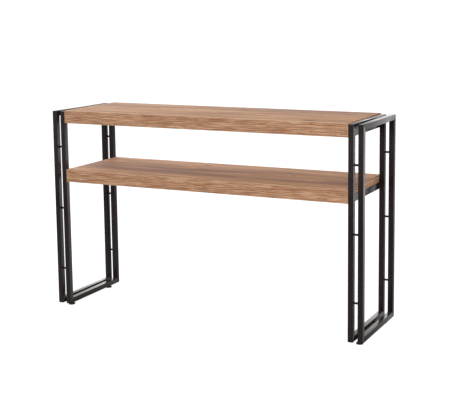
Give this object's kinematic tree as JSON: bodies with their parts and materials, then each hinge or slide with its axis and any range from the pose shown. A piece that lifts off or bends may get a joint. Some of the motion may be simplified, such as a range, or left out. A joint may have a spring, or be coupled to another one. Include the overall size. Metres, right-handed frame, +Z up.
{
  "type": "console table",
  "caption": "Narrow console table with a thick wood-look top and shelf held between two end frames of doubled square steel tube.",
  "frame": {"origin": "on the floor, under the middle of the table's overall box", "axes": "+X along the length, towards the end frame whose outer loop has the feet; -Y is the front; +Z up"},
  "size_m": [1.3, 0.36, 0.788],
  "materials": {
    "oak_face": "matt wood-grain laminate on board",
    "oak_edge": "matt wood-grain edge band",
    "black_steel": "satin black-brown powder coat on square steel tube, bar and angle",
    "foot_plastic": "matt black moulded plastic",
    "zinc_screw": "bright zinc-plated steel"
  },
  "bodies": {
    "root": {"left_back_foot": "foot_plastic", "left_back_foot_screw": "zinc_screw", "left_back_lower_pin": "black_steel", "left_back_middle_pin": "black_steel", "left_back_upper_pin": "black_steel", "left_front_foot": "foot_plastic", "left_front_foot_screw": "zinc_screw", "left_front_lower_pin": "black_steel", "left_front_middle_pin": "black_steel", "left_front_upper_pin": "black_steel", "left_inner_back_leg": "black_steel", "left_inner_bottom_rail": "black_steel", "left_inner_front_leg": "black_steel", "left_inner_top_rail": "black_steel", "left_outer_back_leg": "black_steel", "left_outer_bottom_rail": "black_steel", "left_outer_front_leg": "black_steel", "left_outer_top_rail": "black_steel", "left_shelf_board_angle": "black_steel", "left_top_board_angle": "black_steel", "right_back_foot": "foot_plastic", "right_back_foot_screw": "zinc_screw", "right_back_lower_pin": "black_steel", "right_back_middle_pin": "black_steel", "right_back_upper_pin": "black_steel", "right_front_foot": "foot_plastic", "right_front_foot_screw": "zinc_screw", "right_front_lower_pin": "black_steel", "right_front_middle_pin": "black_steel", "right_front_upper_pin": "black_steel", "right_inner_back_leg": "black_steel", "right_inner_bottom_rail": "black_steel", "right_inner_front_leg": "black_steel", "right_inner_top_rail": "black_steel", "right_outer_back_leg": "black_steel", "right_outer_bottom_rail": "black_steel", "right_outer_front_leg": "black_steel", "right_outer_top_rail": "black_steel", "right_shelf_board_angle": "black_steel", "right_top_board_angle": "black_steel", "shelf_board_back_band": "oak_edge", "shelf_board_core": "oak_face", "shelf_board_front_band": "oak_edge", "shelf_board_left_back_screw": "zinc_screw", "shelf_board_left_band": "oak_edge", "shelf_board_left_front_screw": "zinc_screw", "shelf_board_right_back_screw": "zinc_screw", "shelf_board_right_band": "oak_edge", "shelf_board_right_front_screw": "zinc_screw", "top_board_back_band": "oak_edge", "top_board_core": "oak_face", "top_board_front_band": "oak_edge", "top_board_left_back_screw": "zinc_screw", "top_board_left_band": "oak_edge", "top_board_left_front_screw": "zinc_screw", "top_board_right_back_screw": "zinc_screw", "top_board_right_band": "oak_edge", "top_board_right_front_screw": "zinc_screw"}
  },
  "joints": []
}
